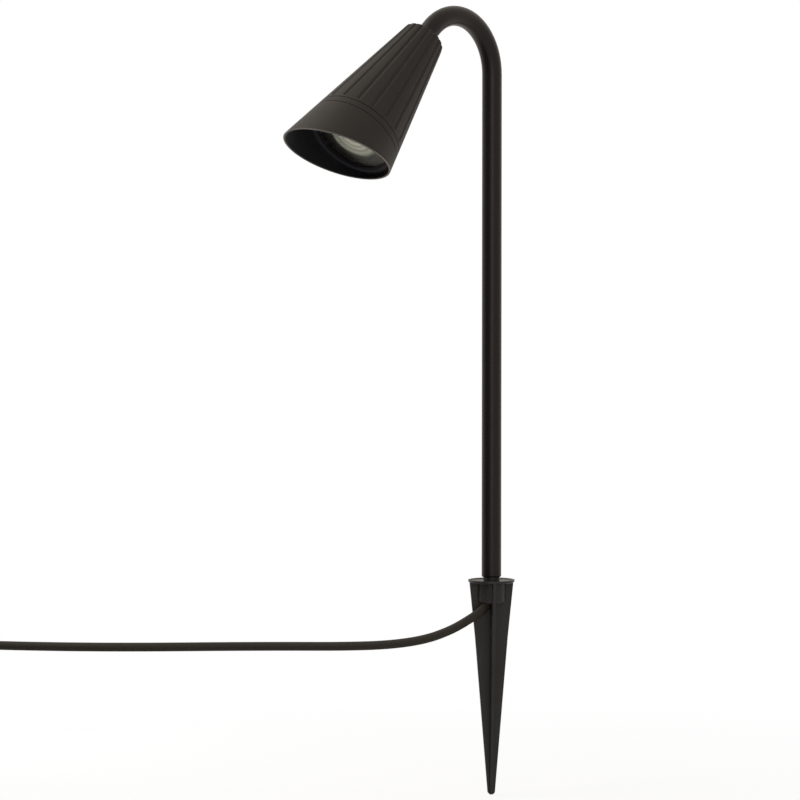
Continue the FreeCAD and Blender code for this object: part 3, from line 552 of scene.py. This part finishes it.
ZINC_PIECES = ("foot_nipple", "foot_washer", "foot_nut", "head_nipple", "head_washer", "head_nut",
               "holder_bracket", "holder_screws")
BRASS_PIECES = ("lamp_pins", "connector_pins")
zinc = worked_metal("zinc_plated_steel", "#C3C2BB", rough_low=0.28, rough_high=0.45, patch=3)
dress(zinc, *ZINC_PIECES)
aluminium = worked_metal("pressed_aluminium", "#DADBDC", rough_low=0.16, rough_high=0.26, patch=6)
dress(aluminium, "lamp_body")
brass = worked_metal("turned_brass", "#D2B36A", rough_low=0.2, rough_high=0.35, patch=2)
dress(brass, *BRASS_PIECES)
print("zinc on", len(ZINC_PIECES), "pieces, brass on", len(BRASS_PIECES), "and aluminium on the lamp")

# %% [markdown]
# ## Plastics and ceramic inside
# The lamp holder is glazed steatite, the core sleeves are woven glass with silicone, and the ring, the tie
# and the connector are black nylon. The chip under the lens has the yellow of its phosphor.

# %% Ceramic, sleeves, nylon and phosphor
MOTTLE_DEPTH = 0.1 * MM


def mottled(name, dark, pale, patch, roughness):
    """A plain finish that shifts between two colours in patches so many millimetres wide."""
    material, shader, place = new_material(name)
    patches = add_node(material, "ShaderNodeTexNoise",
                       {"Vector": place, "Scale": per_size(patch), "Detail": 5.0})
    tone = add_node(material, "ShaderNodeMix",
                    {"Factor": patches.outputs["Fac"], "A": linear(dark), "B": linear(pale)},
                    data_type="RGBA")
    bump = add_node(material, "ShaderNodeBump",
                    {"Height": patches.outputs["Fac"], "Strength": 0.1, "Distance": MOTTLE_DEPTH})
    connect(material, tone.outputs["Result"], shader.inputs["Base Color"])
    connect(material, bump.outputs["Normal"], shader.inputs["Normal"])
    shader.inputs["Roughness"].default_value = roughness
    return material


steatite = mottled("glazed_steatite", "#CFC8B8", "#DDD7CA", patch=1.5, roughness=0.3)
dress(steatite, "lamp_holder")
sleeve = mottled("silicone_sleeve", "#CAC8C2", "#DAD9D4", patch=0.8, roughness=0.6)
dress(sleeve, "core_wires")
phosphor = mottled("phosphor_chip", "#CDA53A", "#DDBB55", patch=0.6, roughness=0.55)
dress(phosphor, "lamp_chip")
NYLON_PIECES = ("lamp_ring", "coil_tie", "connector_gland", "connector_body", "connector_barrel")
nylon = mottled("black_nylon", "#1C1C1D", "#282828", patch=1.2, roughness=0.48)
dress(nylon, *NYLON_PIECES)
print("nylon on", NYLON_PIECES)

# %% [markdown]
# ## Glass and lens
# The front is toughened glass with a faint smoky tint. Its middle is etched to a pale frost in rings that
# spread the beam, and the frost ends in a crisp edge. Behind it the lamp has a stepped lens of clear
# plastic. Clear glass shows mostly what it reflects and what lies behind it, which is dark here. The frost
# scatters light instead, so it looks greenish white. How much light goes straight through is one number,
# the transmission, and the frost lowers it.

# %% Front glass
GLASS_SMOKY = "#C8CFCA"
GLASS_FROST = "#EEF6E8"
FROST_GROOVE = "#BAC4B5"
FROST_FULL, FROST_END = 5 * MM, 19 * MM
FROST_EDGE = 0.8 * MM
THROUGH_THICK, THROUGH_THIN, THROUGH_BARE = 0.38, 0.72, 0.985
RING_MM = 4.4
RING_DEPTH = 0.1 * MM
GLASS_ROUGH = 0.3
GLASS_IOR = 1.52


def etched_glass():
    """Smoky glass with a disc of frost in rings."""
    material, shader, place = new_material("etched_toughened_glass")
    radius = off_axis(material, from_head(material, place))
    turn = 2 * math.pi * per_size(RING_MM)
    waves = add_node(material, "ShaderNodeMath", {0: radius, 1: turn}, operation="MULTIPLY")
    rings = add_node(material, "ShaderNodeMath", {0: waves.outputs[0]}, operation="SINE")
    frost = add_node(material, "ShaderNodeMapRange",
                     {"Value": radius, "From Min": FROST_FULL, "From Max": FROST_END,
                      "To Min": THROUGH_THICK, "To Max": THROUGH_THIN})
    bare = add_node(material, "ShaderNodeMapRange",
                    {"Value": radius, "From Min": FROST_END, "From Max": FROST_END + FROST_EDGE})
    through = add_node(material, "ShaderNodeMix",
                       {"Factor": bare.outputs["Result"], "A": frost.outputs["Result"], "B": THROUGH_BARE})
    ringed = add_node(material, "ShaderNodeMix",
                      {"Factor": rings.outputs[0], "A": linear(GLASS_FROST), "B": linear(FROST_GROOVE)},
                      data_type="RGBA")
    tint = add_node(material, "ShaderNodeMix",
                    {"Factor": bare.outputs["Result"], "A": ringed.outputs["Result"],
                     "B": linear(GLASS_SMOKY)}, data_type="RGBA")
    bump = add_node(material, "ShaderNodeBump",
                    {"Height": rings.outputs[0], "Strength": 0.4, "Distance": RING_DEPTH})
    connect(material, through.outputs["Result"], shader.inputs["Transmission Weight"])
    connect(material, tint.outputs["Result"], shader.inputs["Base Color"])
    connect(material, bump.outputs["Normal"], shader.inputs["Normal"])
    shader.inputs["Roughness"].default_value = GLASS_ROUGH
    shader.inputs["IOR"].default_value = GLASS_IOR
    return material


dress(etched_glass(), "front_glass")
print("frost out to", round(FROST_END / MM, 1), "mm from the glass's middle")

# %% Lamp lens
LENS_CLEAR = "#F5F7F4"
LENS_IOR = 1.585
LENS_ROUGH_LOW, LENS_ROUGH_HIGH = 0.08, 0.16
HAZE_MM = 9


def clear_polycarbonate():
    """Moulded clear plastic with a faint uneven haze."""
    material, shader, place = new_material("clear_polycarbonate")
    haze = add_node(material, "ShaderNodeTexNoise",
                    {"Vector": place, "Scale": per_size(HAZE_MM), "Detail": 3.0})
    rough = add_node(material, "ShaderNodeMapRange",
                     {"Value": haze.outputs["Fac"], "To Min": LENS_ROUGH_LOW, "To Max": LENS_ROUGH_HIGH})
    connect(material, rough.outputs["Result"], shader.inputs["Roughness"])
    shader.inputs["Base Color"].default_value = linear(LENS_CLEAR)
    shader.inputs["IOR"].default_value = LENS_IOR
    shader.inputs["Transmission Weight"].default_value = 1.0
    return material


dress(clear_polycarbonate(), "lamp_lens")
print("lens of", nodes["lamp_lens"].data.materials[0].name)

# %% [markdown]
# ## Floor and light
# The picture is on plain white. The floor is a pale sheet under the spike's tip. The soil that the lead
# would lie on is left out, because it would hide the spike. To the camera and through glass the
# surroundings are white. Reflections see a pale studio all round, brighter behind the object, but for one
# dark gap beside the camera: it draws the black line down the tube, next to the pale stripes of the walls,
# and so shows that the tube is round. The gap and the bright backdrop are worked out from the direction of
# a ray, so no picture of a studio is needed.

# %% What the studio looks like from the object
GAP_TURN = math.radians(-54)
GAP_WAY = Matrix.Rotation(GAP_TURN, 3, "Z") @ toward_camera
GAP_EDGE, GAP_CORE = 0.66, 0.98
ROOM_PALE, ROOM_DARK = 0.56, 0.03
BACKDROP_EDGE, BACKDROP_CORE = 0.15, 0.9
BACKDROP_EXTRA = 0.42
ROOM_WARM = "#FFF6EC"
WHITE = (1, 1, 1, 1)


def studio_room(tree_owner, way):
    """How bright the studio is in a direction: pale, with a soft-edged dark gap and a brighter backdrop."""
    to_gap = add_node(tree_owner, "ShaderNodeVectorMath", {0: way, 1: GAP_WAY}, operation="DOT_PRODUCT")
    walls = add_node(tree_owner, "ShaderNodeMapRange",
                     {"Value": to_gap.outputs["Value"], "From Min": GAP_EDGE, "From Max": GAP_CORE,
                      "To Min": ROOM_PALE, "To Max": ROOM_DARK}, interpolation_type="SMOOTHSTEP")
    to_back = add_node(tree_owner, "ShaderNodeVectorMath", {0: way, 1: -toward_camera},
                       operation="DOT_PRODUCT")
    backdrop = add_node(tree_owner, "ShaderNodeMapRange",
                        {"Value": to_back.outputs["Value"], "From Min": BACKDROP_EDGE,
                         "From Max": BACKDROP_CORE, "To Max": BACKDROP_EXTRA},
                        interpolation_type="SMOOTHSTEP")
    total = add_node(tree_owner, "ShaderNodeMath",
                     {0: walls.outputs["Result"], 1: backdrop.outputs["Result"]}, operation="ADD")
    return total.outputs[0]


def seen_directly(tree_owner, path):
    """One for rays from the camera and through glass, and nothing for others."""
    rays = {0: path.outputs["Is Camera Ray"], 1: path.outputs["Is Transmission Ray"]}
    return add_node(tree_owner, "ShaderNodeMath", rays, operation="MAXIMUM").outputs[0]


print("dark gap towards", [round(x, 2) for x in GAP_WAY])

# %% Floor
FLOOR_GAP = 0.5 * MM
FLOOR_HALF = 6.0
FLOOR_PALE = "#E9E9E8"
SHADOW_KEPT = 0.12
SHADOW_REACH = 700 * MM


def pale_paper():
    """Paper that is white to the camera but for the shadow, and as bright as the room in reflections."""
    material, shader, place = new_material("pale_paper")
    shader.inputs["Base Color"].default_value = linear(FLOOR_PALE)
    shader.inputs["Roughness"].default_value = 0.9
    shader.inputs["Specular IOR Level"].default_value = 0.0
    path = add_node(material, "ShaderNodeLightPath")
    distance = add_node(material, "ShaderNodeVectorMath", {0: place}, operation="LENGTH")
    kept = add_node(material, "ShaderNodeMapRange",
                    {"Value": distance.outputs["Value"], "From Max": SHADOW_REACH, "To Min": 1 - SHADOW_KEPT,
                     "To Max": 1.0}, interpolation_type="SMOOTHSTEP")
    share = add_node(material, "ShaderNodeMath",
                     {0: seen_directly(material, path), 1: kept.outputs["Result"]}, operation="MULTIPLY")
    white = add_node(material, "ShaderNodeEmission", {"Color": WHITE, "Strength": 1.0})
    plain = add_node(material, "ShaderNodeMixShader",
                     {0: share.outputs[0], 1: shader.outputs[0], 2: white.outputs[0]})
    way = add_node(material, "ShaderNodeVectorMath", {0: place}, operation="NORMALIZE")
    lit = studio_room(material, way.outputs["Vector"])
    mirrored = add_node(material, "ShaderNodeEmission", {"Color": linear(ROOM_WARM), "Strength": lit})
    mixed = add_node(material, "ShaderNodeMixShader",
                     {0: path.outputs["Is Glossy Ray"], 1: plain.outputs[0], 2: mirrored.outputs[0]})
    connect(material, mixed.outputs[0], material.node_tree.nodes["Material Output"].inputs["Surface"])
    return material


floor_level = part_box("ground_spike")[0].z - FLOOR_GAP
corners = [(x * FLOOR_HALF, y * FLOOR_HALF, floor_level) for x, y in ((-1, -1), (1, -1), (1, 1), (-1, 1))]
floor_mesh = bpy.data.meshes.new("floor")
floor_mesh.from_pydata(corners, [], [(0, 1, 2, 3)])
floor_mesh.materials.append(pale_paper())
floor = bpy.data.objects.new("floor", floor_mesh)
bpy.context.scene.collection.objects.link(floor)
print("floor at", round(floor_level / MM, 1), "mm")

# %% [markdown]
# ## Sky and lamps
# The sky is white to the camera, and pale with its one dark gap to the object. A large lamp above and to
# the left is the main light, and a tall narrow one beside the camera draws the pale stripe down the tube. A
# small one near the floor stands for a bounce card: it reaches up under the hood to the frosted glass,
# which no light from above does. A card is too dull to show as a highlight, so that lamp is hidden from
# reflections, and from rays through glass.

# %% Sky
world = bpy.data.worlds.new("studio")
world.use_nodes = True
bpy.context.scene.world = world
way = add_node(world, "ShaderNodeTexCoord").outputs["Generated"]
direct = seen_directly(world, add_node(world, "ShaderNodeLightPath"))
strength = add_node(world, "ShaderNodeMath", {0: studio_room(world, way), 1: direct}, operation="MAXIMUM")
hue = add_node(world, "ShaderNodeMix",
               {"Factor": direct, "A": linear(ROOM_WARM), "B": WHITE}, data_type="RGBA")
sky = world.node_tree.nodes["Background"]
connect(world, hue.outputs["Result"], sky.inputs["Color"])
connect(world, strength.outputs[0], sky.inputs["Strength"])
print("sky of", len(world.node_tree.nodes), "nodes")

# %% Lamps
MIDDLE = Vector((0, -0.05, 0.25))
CARD_OFFSET = Vector((-0.53, 0.09, -0.5))


def from_middle(left, near, up):
    """A place so many metres to the picture's left of the object, nearer to the camera and up."""
    return MIDDLE + picture_left * left + toward_camera * near + Vector((0, 0, up))


def soft_lamp(name, place, target, width, height, power, colour):
    """A rectangular lamp that faces a target, with its sizes in metres."""
    data = bpy.data.lights.new(name, "AREA")
    data.shape = "RECTANGLE"
    data.size = width
    data.size_y = height
    data.energy = power
    data.color = linear(colour)[:3]
    lamp = bpy.data.objects.new(name, data)
    lamp.location = place
    lamp.rotation_euler = (place - target).to_track_quat("Z", "Y").to_euler()
    bpy.context.scene.collection.objects.link(lamp)
    print(name, power, "W at", [round(x, 2) for x in place])
    return lamp


high_left = from_middle(left=1.3, near=0.15, up=1.7)
by_camera = from_middle(left=-0.2, near=2.4, up=0.4)
glass_low, glass_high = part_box("front_glass")
glass_middle = (glass_low + glass_high) / 2
soft_lamp("lamp_left", high_left, MIDDLE, width=1.2, height=1.2, power=22, colour="#FFF8F0")
soft_lamp("lamp_front", by_camera, MIDDLE, width=0.35, height=1.6, power=5, colour="#FFF2E8")
card_place = glass_middle + CARD_OFFSET
card = soft_lamp("lamp_card", card_place, glass_middle, width=0.3, height=0.3, power=3, colour="#FFFFF8")
card.visible_glossy = False
card.visible_transmission = False

# %% [markdown]
# ## How colours are shown
# Blender's usual view transform rolls bright values off like film, and that would turn the white background
# grey. The Standard one shows each colour as it is written, as a catalogue picture needs.

# %% Picture settings
view_settings = bpy.context.scene.view_settings
view_settings.view_transform = "Standard"
print("view transform", view_settings.view_transform)

# %% [markdown]
# ## Finish
# The view layer is brought up to date once more.

# %% Finish
bpy.context.view_layer.update()
